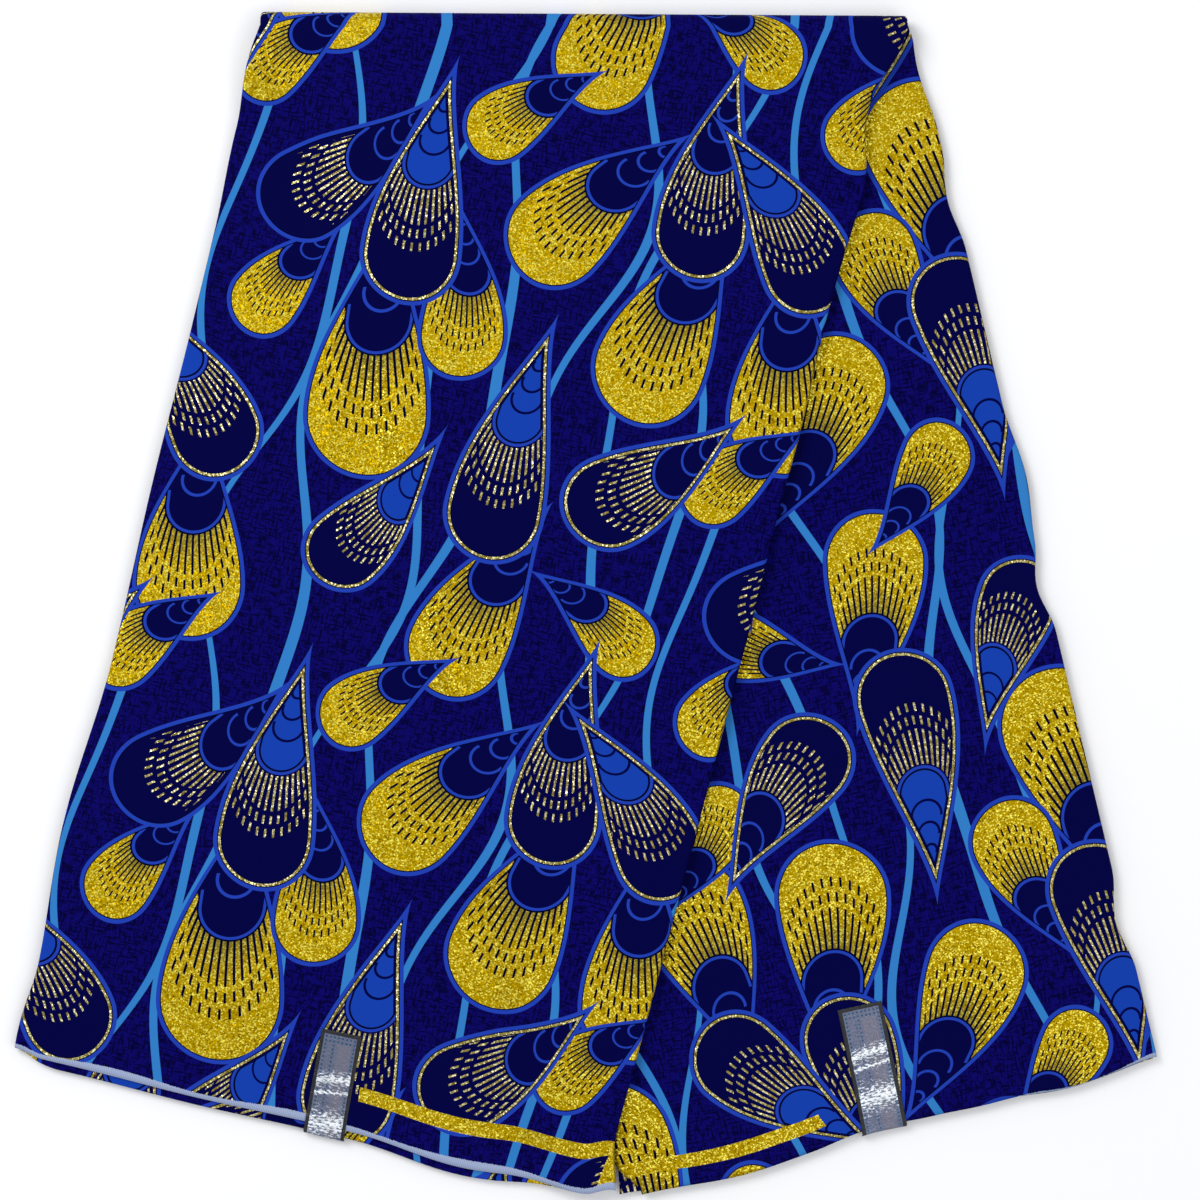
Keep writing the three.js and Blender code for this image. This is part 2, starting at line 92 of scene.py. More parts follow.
frontLength = float(np.linalg.norm(corner["frontHemLeft"] - corner["foldLeft"]))
sheet = solid["wall"] + solid["gap"]
stepUp = solid["pile"] + solid["wall"] + 2 * solid["gap"]
foldRadius = (stepUp + solid["pile"] + sheet + solid["foldPuff"]) / 2
foldPlace = foldRadius / frontLength
tailPlace = (foldRadius + solid["tailLength"]) / frontLength


def bump(x):
    return np.where(np.abs(x) < 1, 0.5 + 0.5 * np.cos(np.pi * np.clip(x, -1, 1)), 0.0)


def ease(x, low, high):
    t = np.clip((x - low) / (high - low), 0, 1)
    return t * t * (3 - 2 * t)


def swing(name, at):
    return sum(out * bump((at - place) / reach) for place, out, reach in swings[name])


def edgePoint(start, end, name, side, v):
    along = end - start
    outward = np.array([along[1], -along[0]]) / np.linalg.norm(along) * side
    v = np.asarray(v, float)[..., None]
    return start + along * v + outward * swing(name, v)


def frontPlan(u, v, inset=0.0):
    u, v, inset = np.broadcast_arrays(np.asarray(u, float), v, inset)
    left = edgePoint(corner["foldLeft"], corner["frontHemLeft"], "frontLeft", 1, v)
    right = edgePoint(corner["foldRight"], corner["frontHemRight"], "frontRight", -1, v)
    across = right - left
    across = across / np.linalg.norm(across, axis=-1, keepdims=True)
    left = left + across * inset[..., None]
    right = right - across * inset[..., None]
    point = left + (right - left) * u[..., None]
    point[..., 1] -= swing("frontHem", u) * ease(v, solid["hemStart"], 1)
    return point


def rightPlan(u, v, leftTuck, inset=0.0):
    u, v, leftTuck, inset = np.broadcast_arrays(np.asarray(u, float), v, leftTuck, inset)
    hemLine = ease(v, solid["cornerStart"], 1)
    left = edgePoint(corner["foldRight"], corner["frontHemRight"], "frontRight", -1, v)
    hemLevel = corner["rightHemLeft"][1] - (v - 1) * frontLength
    left[..., 1] += (hemLevel - left[..., 1]) * hemLine
    left[..., 0] -= leftTuck
    right = edgePoint(corner["foldRight"], corner["rightHemRight"], "rightRight", -1, v)
    right[..., 0] -= inset
    point = left + (right - left) * u[..., None]
    point[..., 1] -= swing("rightHem", u) * ease(v, solid["hemStart"], 1)
    return point


def tuckAt(v):
    drawn = solid["cornerDraw"] * ease(v, solid["slotEnd"], 1)
    return solid["tuck"] * (1 - ease(v, solid["drawStart"], solid["slotEnd"])) - drawn


def creaseHeight(side, u, v, width):
    total = 0.0
    for u0, v0, u1, v1, half, height in creases[side]:
        start = np.array([u0 * width, v0 * frontLength])
        along = np.array([u1 * width, v1 * frontLength]) - start
        px, py = u * width - start[0], v * frontLength - start[1]
        t = np.clip((px * along[0] + py * along[1]) / (along @ along), 0, 1)
        bow = 4 * np.sin(3 * t + half)
        off = np.hypot(px - t * along[0] + bow, py - t * along[1])
        total = total + height * np.exp(-((off / half) ** 2)) * np.sin(np.pi * np.clip(t, 0.04, 0.96))
    return total


def swellHeight(side, u, v):
    rows = swells[side]
    return sum(h * bump((u - at) / across) * bump((v - row) / down) for at, row, h, across, down in rows)


def thinned(v):
    share = solid["hemThinningReach"] / frontLength
    return solid["hemThinning"] * ease(v, 1 - share, 1)


def rightTop(u, v):
    u, v = np.broadcast_arrays(np.asarray(u, float), v)
    free = ease(u, 0.15, 0.4)
    soft = ease(u, 0.02, 0.1) * (1 - ease(v, 0.96, 1))
    creased = creaseHeight("right", u, v, 290) * soft
    return solid["pile"] + sheet - thinned(v) + free * swellHeight("right", u, v) + creased


def frontTop(u, v):
    u, v = np.broadcast_arrays(np.asarray(u, float), v)
    slopeStart = np.maximum(0.9 * v - 0.036, 0.03)
    slopeEnd = np.maximum(0.9 * v + 0.036, 0.09)
    dropped = ease(v, 0.03, 0.11) * (1 - ease(u, slopeStart, slopeEnd))
    step = (stepUp - thinned(v)) * (1 - dropped)
    puff = solid["foldPuff"] * (1 - ease(v, foldPlace, solid["puffEnd"]))
    soft = ease(v, foldPlace, 0.06) * (1 - ease(v, 0.96, 1))
    creased = creaseHeight("front", u, v, 330) * soft
    return step + solid["pile"] + sheet + puff - thinned(v) + swellHeight("front", u, v) + creased


# Where a plan point lies on the cloth. The front fall's print stands upright, the right fall's upside down.
def frontPrint(plan):
    down = np.array([-0.244, -0.970])
    across = np.array([0.970, -0.244])
    offset = plan - corner["foldLeft"]
    return np.stack([offset @ across, -(offset @ down)], -1)


def rightPrint(plan):
    down = np.array([0.2297, -0.9733])
    inward = np.array([-0.9733, -0.2297])
    offset = plan - corner["foldRight"]
    return np.stack([offset @ inward + 95, offset @ down + 60], -1)


# Meshes
def finishMesh(name, points, faces, loops, material):
    mesh = bpy.data.meshes.new(name)
    mesh.from_pydata((np.asarray(points) * mm).tolist(), [], np.asarray(faces).tolist())
    flat = np.asarray(faces).ravel()
    for layer, values in loops.items():
        uv = mesh.uv_layers.new(name=layer)
        uv.data.foreach_set("uv", np.asarray(values)[flat].astype(np.float32).ravel())
    mesh.materials.append(material)
    mesh.shade_smooth()
    mesh.update()
    made = bpy.data.objects.new(name, mesh)
    bpy.context.scene.collection.objects.link(made)
    return made


def gridFaces(rows, columns, flip):
    j, i = np.mgrid[0:rows - 1, 0:columns - 1]
    a = (j * columns + i).ravel()
    quads = np.stack([a, a + 1, a + columns + 1, a + columns], -1)
    return quads[:, ::-1] if flip else quads


def clothShell(name, grid, layers, material, thickness, flip=False):
    rows, columns = grid.shape[:2]
    loops = {layer: values.reshape(-1, 2) for layer, values in layers.items()}
    made = finishMesh(name, grid.reshape(-1, 3), gridFaces(rows, columns, flip), loops, material)
    body = made.modifiers.new("thickness", "SOLIDIFY")
    body.thickness = thickness * mm
    body.offset = -1
    return made


# Shader maths: an expression on a Wire adds its Math nodes
class Wire:
    def __init__(self, finish, socket):
        self.finish = finish
        self.socket = socket

    def math(self, operation, *values):
        return self.finish.node("ShaderNodeMath", {"operation": operation}, dict(enumerate(values)))

    def __add__(self, other): return self.math("ADD", self, other)
    def __sub__(self, other): return self.math("SUBTRACT", self, other)
    def __rsub__(self, other): return self.math("SUBTRACT", other, self)
    def __mul__(self, other): return self.math("MULTIPLY", self, other)
    def __truediv__(self, other): return self.math("DIVIDE", self, other)
    def __rtruediv__(self, other): return self.math("DIVIDE", other, self)
    def __pow__(self, other): return self.math("POWER", self, other)
    def __mod__(self, other): return self.math("FLOORED_MODULO", self, other)
    def __lt__(self, other): return self.math("LESS_THAN", self, other)
    def __gt__(self, other): return self.math("GREATER_THAN", self, other)
    def __abs__(self): return self.math("ABSOLUTE", self)
    def __neg__(self): return self.math("MULTIPLY", self, -1)
    __radd__ = __add__
    __rmul__ = __mul__

    def both(self, other): return self.math("MINIMUM", self, other)
    def either(self, other): return self.math("MAXIMUM", self, other)
    def timesPlus(self, factor, more): return self.math("MULTIPLY_ADD", self, factor, more)
    def floor(self): return self.math("FLOOR", self)
    def fract(self): return self.math("FRACT", self)
    def sine(self): return self.math("SINE", self)
    def between(self, low, high): return (self > low).both(self < high)


class Finish:
    def __init__(self, name):
        self.material = bpy.data.materials.new(name)
        self.material.use_nodes = True
        self.tree = self.material.node_tree
        self.shader = self.tree.nodes["Principled BSDF"]

    def node(self, kind, settings, values, out=0):
        made = self.tree.nodes.new(kind)
        for key, value in settings.items():
            if key == "stops":
                ramp = made.color_ramp
                while len(ramp.elements) < len(value):
                    ramp.elements.new(0.5)
                for element, (place, colour) in zip(ramp.elements, value):
                    element.position, element.color = place, (*colour, 1)
            else:
                setattr(made, key, value)
        for key, value in values.items():
            if isinstance(value, Wire):
                self.tree.links.new(value.socket, made.inputs[key])
            else:
                made.inputs[key].default_value = value
        return Wire(self, made.outputs[out])

    def uv(self, layer):
        return self.node("ShaderNodeUVMap", {"uv_map": layer}, {})

    def vector(self, operation, *values, out=0):
        return self.node("ShaderNodeVectorMath", {"operation": operation}, dict(enumerate(values)), out)

    def dot(self, wire, weights):
        return self.vector("DOT_PRODUCT", wire, weights, out=1)

    def combine(self, x, y, z=0.0):
        return self.node("ShaderNodeCombineXYZ", {}, {0: x, 1: y, 2: z})

    def split(self, wire):
        made = self.node("ShaderNodeSeparateXYZ", {}, {0: wire})
        return [Wire(self, made.socket.node.outputs[k]) for k in range(3)]

    def mixVector(self, factor, a, b):
        return self.node("ShaderNodeMix", {"data_type": "VECTOR"}, {0: factor, 4: a, 5: b}, 1)

    def mixColour(self, factor, a, b):
        return self.node("ShaderNodeMix", {"data_type": "RGBA"}, {0: factor, 6: a, 7: b}, 2)

    def mixValue(self, factor, a, b):
        return self.node("ShaderNodeMix", {"data_type": "FLOAT"}, {0: factor, 2: a, 3: b})

    def noise(self, wire, scale, detail=2.0, roughness=0.5):
        values = {"Vector": wire, "Scale": scale, "Detail": detail, "Roughness": roughness}
        return self.node("ShaderNodeTexNoise", {"noise_dimensions": "2D"}, values)

    def feed(self, socket, value):
        if isinstance(value, Wire):
            self.tree.links.new(value.socket, self.shader.inputs[socket])
        else:
            self.shader.inputs[socket].default_value = value


def linear(red, green, blue):
    parts = [c / 255 for c in (red, green, blue)]
    return (*[c / 12.92 if c <= 0.04045 else ((c + 0.055) / 1.055) ** 2.4 for c in parts], 1.0)


# The print: a charted repeat of hanging drops with feathered eyes. Every second column of the
# repeat is set half a repeat higher. Lines and gaps are in mm of cloth, and the neck, its arcs and
# the fan in bulb radii.
printChart = {
    "width": 284, "height": 320,
    "outline": 2.1, "darkLine": 0.6, "goldLine": 1.3, "innerLine": 0.5, "neckGap": 1.6,
    "neckPlace": 0.46, "neckRadius": 0.5, "neckShift": 0.05, "neckLine": 0.75,
    "neckFlare": 2.2, "neckShoulder": 0.02, "neckEnd": 0.24,
    "shadowPlace": 1.2, "shadowHalf": 0.5, "brightShift": 2.5,
    "fanPole": 1.4, "fanPitch": 0.052, "fanHalf": 0.364, "lineHalf": 0.021,
    "longLine": 0.76, "shortenAt": 0.62, "rowPitch": 0.26, "rowCount": 1.4, "sideRows": 0.75, "rowGap": 0.36,
    "fanFromNeck": 1.6, "fanFromEdge": 0.6, "dimReach": 0.7, "dimming": 0.75, "dimSpread": 0.4,
    "arcStart": 0.12, "arcPitch": 0.43, "arcRadius": 0.3, "arcShrink": 0.09, "arcHalf": 0.025,
    "arcLift": 0.03, "arcOpen": 0.06, "stemRipple": 0.3, "stemSwelling": 0.45,
    "flakeScale": 1.5, "hatchLong": 0.16, "hatchShort": 0.9, "hatchStart": 0.52, "hatchFull": 0.6,
}
# Drops in drawing order: x and y of the bulb, its radius, length over radius, tilt in degrees, bend,
# slimness, kind
goldDrop, rimmedDrop, brightDrop, plainDrop = 0, 1, 2, 3
drops = [
    (34, 16, 30, 3.1, -14, 0.04, 0.72, goldDrop),
    (180, 18, 28, 3.3, 12, 0.04, 0.7, goldDrop),
    (265, 42, 20, 3.1, -54, -0.07, 0.75, goldDrop),
    (104, 126, 34, 3.2, -11, 0.03, 0.68, goldDrop),
    (36, 172, 20, 3.1, 22, 0.06, 0.72, goldDrop),
    (143, 179, 24, 3.1, -8, -0.05, 0.7, goldDrop),
    (243, 186, 31, 3.1, 8, 0.04, 0.7, goldDrop),
    (178, 242, 28, 3.2, 30, 0.05, 0.72, goldDrop),
    (135, 291, 20, 3.2, 38, 0.06, 0.75, goldDrop),
    (8, 292, 20, 3.1, 34, 0.06, 0.72, goldDrop),
    (44, 232, 26, 3.3, 50, -0.06, 0.75, plainDrop),
    (240, 112, 26, 3.3, 54, -0.06, 0.75, rimmedDrop),
    (252, 262, 26, 3.8, -8, 0.04, 0.72, rimmedDrop),
    (110, 54, 23, 3.7, 36, -0.05, 0.8, brightDrop),
    (28, 98, 26, 3.7, -36, -0.05, 0.75, brightDrop),
    (182, 92, 27, 4.1, -3, 0.03, 0.72, brightDrop),
    (106, 214, 27, 4.0, -7, 0.03, 0.74, brightDrop),
]
# Stems behind the drops: x, sway, phase in turns, half width
stems = [
    (16, 13, 0.1, 2.2), (58, 16, 0.62, 1.9), (84, 12, 0.3, 2.5), (132, 15, 0.05, 1.8),
    (158, 13, 0.8, 2.5), (206, 16, 0.42, 2.0), (238, 12, 0.2, 2.3), (266, 15, 0.9, 1.9),
]


inkShare = 0.78  # how much of its light the cloth gives back under the studio's lamps


def ink(red, green, blue):
    return (*[inkShare * part for part in linear(red, green, blue)[:3]], 1.0)


colours = {
    "ground": ink(12, 8, 104), "hatch": ink(4, 1, 54), "deep": ink(3, 3, 68),
    "outline": ink(34, 66, 182), "dark": ink(2, 2, 38), "stem": ink(52, 130, 205),
    "bright": ink(22, 66, 178), "gold": ink(196, 162, 0), "goldLight": ink(255, 242, 96),
    "goldDark": ink(122, 94, 0), "paleGold": ink(158, 146, 70), "paleLight": ink(255, 248, 196),
    "dimGold": ink(92, 92, 46), "selvedge": ink(176, 190, 222), "selvedgeShade": ink(112, 126, 172),
}


def flakeStops(places, names):
    return [(place, colours[name][:3]) for place, name in zip(places, names)]


def printNodes(cloth, where):
    chart = printChart
    width, height = chart["width"], chart["height"]
    columns = cloth.dot(where, (1 / width, 0, 0))
    rows = cloth.dot(where, (-0.5 / width, 1 / height, 0))
    cell = cloth.combine(columns, rows, 1.0)

    def wrapped(x, y):
        cx, cy = x / width, y / height - 0.5 * x / width
        return cloth.vector("WRAP", cell, (cx + 0.5, cy + 0.5, 2), (cx - 0.5, cy - 0.5, 0))

    # Stems, three in each vector
    full = 2 * math.pi
    turned = rows * full
    thrice = cloth.combine(columns, columns, columns)
    turned = cloth.combine(turned, turned, turned)
    clear = None
    for k in range(0, len(stems), 3):
        x, sway, phase, half = np.array((stems[k:k + 3] + stems[-1:])[:3]).T
        near = cloth.vector("WRAP", thrice, x / width + 0.5, x / width - 0.5)
        angle = cloth.vector("MULTIPLY_ADD", near, (full / 2,) * 3, cloth.vector("ADD", turned, phase * full))
        wave = cloth.vector("SINE", angle)
        ripple = cloth.vector("SINE", cloth.vector("MULTIPLY_ADD", angle, (2,) * 3, x))
        side = cloth.vector("MULTIPLY_ADD", near, (width,) * 3, -x)
        side = cloth.vector("MULTIPLY_ADD", wave, -sway, side)
        side = cloth.vector("MULTIPLY_ADD", ripple, sway * -chart["stemRipple"], side)
        wide = cloth.vector("MULTIPLY_ADD", wave, (chart["stemSwelling"],) * 3, half)
        off = cloth.vector("SUBTRACT", cloth.vector("ABSOLUTE", side), wide)
        clear = off if clear is None else cloth.vector("MINIMUM", clear, off)
    first, second, third = cloth.split(clear)
    stemMask = first.both(second).both(third) < 0

    # Drops: the last one that covers a point gives its own measures there
    side, up, taper = 0.0, 0.0, 0.0
    facts = (0.0, 0.0, 0.0)
    for x, y, radius, length, tilt, bend, slim, kind in drops:
        near = wrapped(x, y)
        s, c = math.sin(math.radians(tilt)), math.cos(math.radians(tilt))
        mapX = (width * c - height / 2 * s, -height * s, -(x * c - y * s))
        mapY = (width * s + height / 2 * c, height * c, -(x * s + y * c))
        upHere = cloth.dot(near, tuple(k / radius for k in mapY))
        straight = cloth.dot(near, tuple(k / radius for k in mapX))
        sideHere = (upHere * -bend).timesPlus(upHere, straight)
        settings = {"interpolation_type": "SMOOTHSTEP"}
        span = {0: upHere, 1: 0.0, 2: length, 3: 1.0, 4: 0.0}
        slope = cloth.node("ShaderNodeMapRange", settings, span)
        taperHere = slope ** (2 * slim)
        below = upHere.both(0)
        inside = below.timesPlus(below, sideHere * sideHere) < taperHere
        side = cloth.mixValue(inside, side, sideHere)
        up = cloth.mixValue(inside, up, upHere)
        taper = cloth.mixValue(inside, taper, taperHere)
        facts = cloth.mixVector(inside, facts, (radius, length * chart["neckPlace"], kind))

    reach = cloth.vector("LENGTH", cloth.combine(side, up.both(0)), out=1) - taper ** 0.5
    radius, neck, kind = cloth.split(facts)
    covered = radius > 1
    edge = -(reach * radius)
    isGold = kind < 0.5
    isRimmed = kind.between(0.5, 2.5)
    isBright = kind.between(1.5, 2.5)

    # Bands along the outline, from the outside in
    darkEnd = chart["outline"] + chart["darkLine"]
    goldEnd = darkEnd + chart["goldLine"]
    outline = edge < chart["outline"]
    darkLine = edge.between(chart["outline"], darkEnd)
    goldLine = edge.between(darkEnd, goldEnd).both(isRimmed)
    darkLine = darkLine.either(edge.between(goldEnd, goldEnd + chart["innerLine"]).both(isRimmed))

    # The neck, with its arcs
    above = up - neck
    neckSide = side - chart["neckShift"]
    neckReach = cloth.vector("LENGTH", cloth.combine(neckSide, above.math("MINIMUM", above, 0)), out=1)
    fromNeck = neckReach - chart["neckRadius"]
    inNeck = (fromNeck < 0).either(above - fromNeck * chart["neckFlare"] > chart["neckShoulder"])
    nearNeck = fromNeck * radius
    belowNeckEnd = above < chart["neckEnd"]
    neckLine = (abs(nearNeck) < chart["neckLine"]).both(belowNeckEnd)
    fromShadow = nearNeck - chart["shadowPlace"] + isBright * chart["brightShift"]
    neckShadow = (abs(fromShadow) < chart["shadowHalf"]).both(belowNeckEnd)
    steps = (above - chart["arcStart"]) / chart["arcPitch"]
    arcRadius = chart["arcRadius"] - steps.floor() * chart["arcShrink"]
    arcUp = steps.fract() * chart["arcPitch"] - chart["arcLift"] - arcRadius
    arcReach = cloth.vector("LENGTH", cloth.combine(neckSide, arcUp), out=1) - arcRadius
    arcs = (abs(arcReach) < chart["arcHalf"]).both(arcUp < chart["arcOpen"]).both(steps > 0)

    # The feathered fan below it
    pole = neck + chart["fanPole"]
    fall = pole - up
    turn = cloth.node("ShaderNodeMath", {"operation": "ARCTAN2"}, {0: side, 1: fall})
    distance = cloth.vector("LENGTH", cloth.combine(side, fall), out=1)
    spread = turn / chart["fanHalf"]
    longEnd = spread * spread * -chart["shortenAt"] + chart["longLine"]
    rowPlace = (fromNeck - longEnd) / chart["rowPitch"]
    isLong = rowPlace < 0
    inRows = rowPlace.floor() < abs(spread) * chart["sideRows"] + chart["rowCount"]
    dash = (rowPlace.fract() > chart["rowGap"]).both(inRows)
    shift = (rowPlace.floor() % 2) * 0.5 * (1 - isLong)
    lineOff = abs((turn / chart["fanPitch"] + shift).fract() - 0.5) * chart["fanPitch"] * distance
    fan = (lineOff < chart["lineHalf"]).both(isLong.either(dash)).both(abs(spread) < 1)
    fan = fan.both(nearNeck > chart["fanFromNeck"]).both(edge > goldEnd + chart["fanFromEdge"])
    fan = fan.both(1 - inNeck)
    fromFan = fromNeck + abs(spread) * chart["dimSpread"]
    span = {0: fromFan, 1: 0.0, 2: chart["dimReach"], 3: chart["dimming"], 4: 0.0}
    dimmed = cloth.node("ShaderNodeMapRange", {}, span)

    # Metallic flakes, each with its own tone
    flakes = {"feature": "F1", "voronoi_dimensions": "2D"}
    sown = {"Vector": where, "Scale": chart["flakeScale"]}
    glitter = cloth.node("ShaderNodeTexVoronoi", flakes, sown, 1)
    grain = cloth.split(glitter)
    stops = flakeStops((0.0, 0.25, 0.68, 0.92), ("goldDark", "gold", "gold", "goldLight"))
    gold = cloth.node("ShaderNodeValToRGB", {"stops": stops}, {0: grain[0]})
    stops = flakeStops((0.0, 0.3, 0.6, 0.9), ("goldDark", "paleGold", "paleGold", "paleLight"))
    paleGold = cloth.node("ShaderNodeValToRGB", {"stops": stops}, {0: grain[1]})

    # Ground with its broken crosshatch
    stretched = (chart["hatchLong"], chart["hatchShort"])
    long = cloth.noise(cloth.vector("MULTIPLY", where, (*stretched, 1)), 1.0, 3.0, 0.6)
    tall = cloth.noise(cloth.vector("MULTIPLY", where, (*stretched[::-1], 1)), 1.0, 3.0, 0.6)
    span = {0: long.either(tall), 1: chart["hatchStart"], 2: chart["hatchFull"], 3: 0.0, 4: 1.0}
    hatch = cloth.node("ShaderNodeMapRange", {}, span)
    ground = cloth.mixColour(hatch, colours["ground"], colours["hatch"])
    colour = cloth.mixColour(stemMask, ground, colours["stem"])

    goldArea = covered.both(isGold).both(edge > darkEnd).both(1 - inNeck)
    fanGold = cloth.mixColour(dimmed, gold, colours["dimGold"])
    paint = cloth.mixColour(goldArea, colours["deep"], fanGold)
    brightFill = (fromNeck < 0).both(isBright).both(edge > goldEnd + chart["neckGap"])
    paint = cloth.mixColour(brightFill, paint, colours["bright"])
    arcInk = cloth.mixColour(isBright, colours["outline"], colours["deep"])
    paint = cloth.mixColour(arcs, paint, arcInk)
    fanInk = cloth.mixColour(isGold, paleGold, colours["dark"])
    paint = cloth.mixColour(fan, paint, fanInk)
    paint = cloth.mixColour(neckShadow, paint, colours["dark"])
    paint = cloth.mixColour(neckLine, paint, colours["outline"])
    paint = cloth.mixColour(goldLine, paint, paleGold)
    paint = cloth.mixColour(darkLine, paint, colours["dark"])
    paint = cloth.mixColour(outline, paint, colours["outline"])
    colour = cloth.mixColour(covered, colour, paint)

    bare = 1 - fan.either(neckLine).either(outline).either(darkLine)
    shiny = goldArea.both(bare).either(covered.both(fan.both(1 - isGold).either(goldLine)))
    return colour, shiny, gold, grain


# The bare selvedge: a place along the hem and its width there in mm, then a second place and width
selvedges = {"front": (0, 3.7, 1, 3.7), "right": (0.68, -0.6, 1, 2.6), "layers": (0, 2.2, 1, 2.2)}
# Gold strips: from and to along the hem, and from and to above it in mm
goldStrips = {"front": (0.57, 1.01, 15.5, 22.5), "right": (-0.01, 0.38, 8.5, 14.5)}
clothLook = {
    "fray": 1.1, "swell": 0.9, "swellTurns": 21, "ribTurns": 6.5, "ribDepth": 0.45,
    "cornerAcross": -310, "cornerUp": 0.55, "cornerStart": -300.5, "cornerOverlap": 1,
    "matte": 0.62, "shine": 0.34, "metal": 0.6, "specular": 0.015, "flakeTilt": 0.5,
    "weaveScale": 2.4, "weaveBump": 0.12, "weaveDepth": 0.0002,
}


def clothFinish(name, selvedge):
    look = clothLook
    cloth = Finish(name)
    where = cloth.uv("print")
    colour, shiny, gold, grain = printNodes(cloth, where)
    across, fromHem = cloth.split(cloth.uv("edge"))[:2]
    if selvedge in goldStrips:
        start, end, low, high = goldStrips[selvedge]
        mask = across.between(start, end).both(fromHem.between(low, high))
        if selvedge == "front":  # the strip turns down at the corner
            inCorner = across * look["cornerAcross"] + fromHem * look["cornerUp"] < look["cornerStart"]
            mask = mask.either(inCorner.both(fromHem < low + look["cornerOverlap"]))
        colour = cloth.mixColour(mask, colour, gold)
        shiny = shiny.either(mask)
    threads = cloth.noise(cloth.vector("MULTIPLY", where, (1.6, 0.4, 1)), 1.0, 2.0, 0.6)
    ragged = threads * look["fray"]
    broad = (across * look["swellTurns"] + 1.2).sine() * look["swell"]
    place, width, nextPlace, nextWidth = selvedges[selvedge]
    span = {0: across, 1: place, 2: nextPlace, 3: width, 4: nextWidth}
    bare = cloth.node("ShaderNodeMapRange", {}, span)
    mask = fromHem + ragged + broad < bare
    # The selvedge's ribs have no relief: the shade between them is painted as darker stripes
    ribs = (cloth.dot(where, (look["ribTurns"], 0, 0)).sine() * 0.5 + 0.5) * look["ribDepth"]
    band = cloth.mixColour(ribs, colours["selvedge"], colours["selvedgeShade"])
    colour = cloth.mixColour(mask, colour, band)
    shiny = shiny * (1 - mask)
    cloth.feed("Base Color", colour)
    cloth.feed("Roughness", cloth.mixValue(shiny, look["matte"], look["shine"]))
    cloth.feed("Metallic", shiny * look["metal"])
    cloth.feed("Specular IOR Level", look["specular"])
    weave = cloth.noise(where, look["weaveScale"], 2.0, 0.7)
    relief = {"Strength": look["weaveBump"], "Distance": look["weaveDepth"], "Height": weave}
    normal = cloth.node("ShaderNodeBump", {}, relief)
    # Each flake leans its own way
    lean = cloth.vector("SUBTRACT", cloth.combine(*grain), (0.5, 0.5, 0.5))
    scaling = {0: lean, "Scale": shiny * look["flakeTilt"]}
    tilted = cloth.node("ShaderNodeVectorMath", {"operation": "SCALE"}, scaling)
    cloth.feed("Normal", cloth.vector("NORMALIZE", cloth.vector("ADD", normal, tilted)))
    return cloth.material


frontFinish = clothFinish("front print", "front")
rightFinish = clothFinish("right print", "right")
layerFinish = clothFinish("layer print", "layers")
print("print made")


# Sheets: the grid's rows and columns, and the rolled lip at their sides
sheetLook = {
    "clothThickness": 0.5, "lipSteps": 6, "lipPrint": 0.8,
    "frontRows": 216, "frontColumns": 150, "turnSteps": 25, "turnTail": 20,
    "rightRows": 212, "rightColumns": 130, "rightStart": 5,
    "leafTop": 0.95, "leafRows": 14, "leafPeepRows": 5, "leafColumns": 120, "leafEdge": 60,
}


def lipProfile():
    radius = solid["lipRadius"]
    rows = [(0.0, radius + solid["lipDrop"])]
    for angle in np.linspace(0, 90, sheetLook["lipSteps"]):
        c, s = math.cos(math.radians(angle)), math.sin(math.radians(angle))
        rows.append((radius * (1 - c), radius * (1 - s)))
    return rows


def acrossEntries(count, leftLip, firstInset):
    profile = lipProfile()
    entries = [(0.0, inset, drop) for inset, drop in profile] if leftLip else [(0.0, firstInset, 0.0)]
    inner = np.linspace(0, 1, count + 1)[1:-1]
    entries += [(u, firstInset, 0.0) for u in inner]
    entries += [(1.0, inset, drop) for inset, drop in reversed(profile)]
    return np.array(entries)


def frontCloth():
    entries = acrossEntries(sheetLook["frontColumns"], True, solid["lipRadius"])
    u, inset, drop = entries.T
    rows = [(v, 90, False) for v in np.linspace(1, foldPlace, sheetLook["frontRows"])]
    rows += [(foldPlace, angle, False) for angle in np.linspace(90, -90, sheetLook["turnSteps"])[1:]]
    rows += [(tailPlace, -90, True)]
    grid, printed, edged = [], [], []
    for v, angle, onFloor in rows:
        c, s = math.cos(math.radians(angle)), math.sin(math.radians(angle))
        plan = frontPlan(u, v, inset)
        top = frontTop(u, v)
        cloth = frontPrint(plan)
        y, z = plan[:, 1].copy(), top
        if onFloor:
            z = np.zeros_like(top)
            cloth[:, 1] += math.pi * foldRadius + sheetLook["turnTail"]
        elif angle != 90:
            radius = top / 2
            y, z = y + radius * c, radius * (1 + s)
            cloth[:, 1] += math.radians(90 - angle) * foldRadius
        y, z = y - drop * c, z - drop * s
        cloth[:, 0] += np.where(u < 0.5, -1, 1) * sheetLook["lipPrint"] * drop
        grid.append(np.stack([plan[:, 0], y, z], -1))
        printed.append(cloth)
        edged.append(np.stack([u, np.full_like(u, (1 - v) * frontLength)], -1))
    layers = {"print": np.array(printed), "edge": np.array(edged)}
    return clothShell("frontCloth", np.array(grid), layers, frontFinish, sheetLook["clothThickness"])


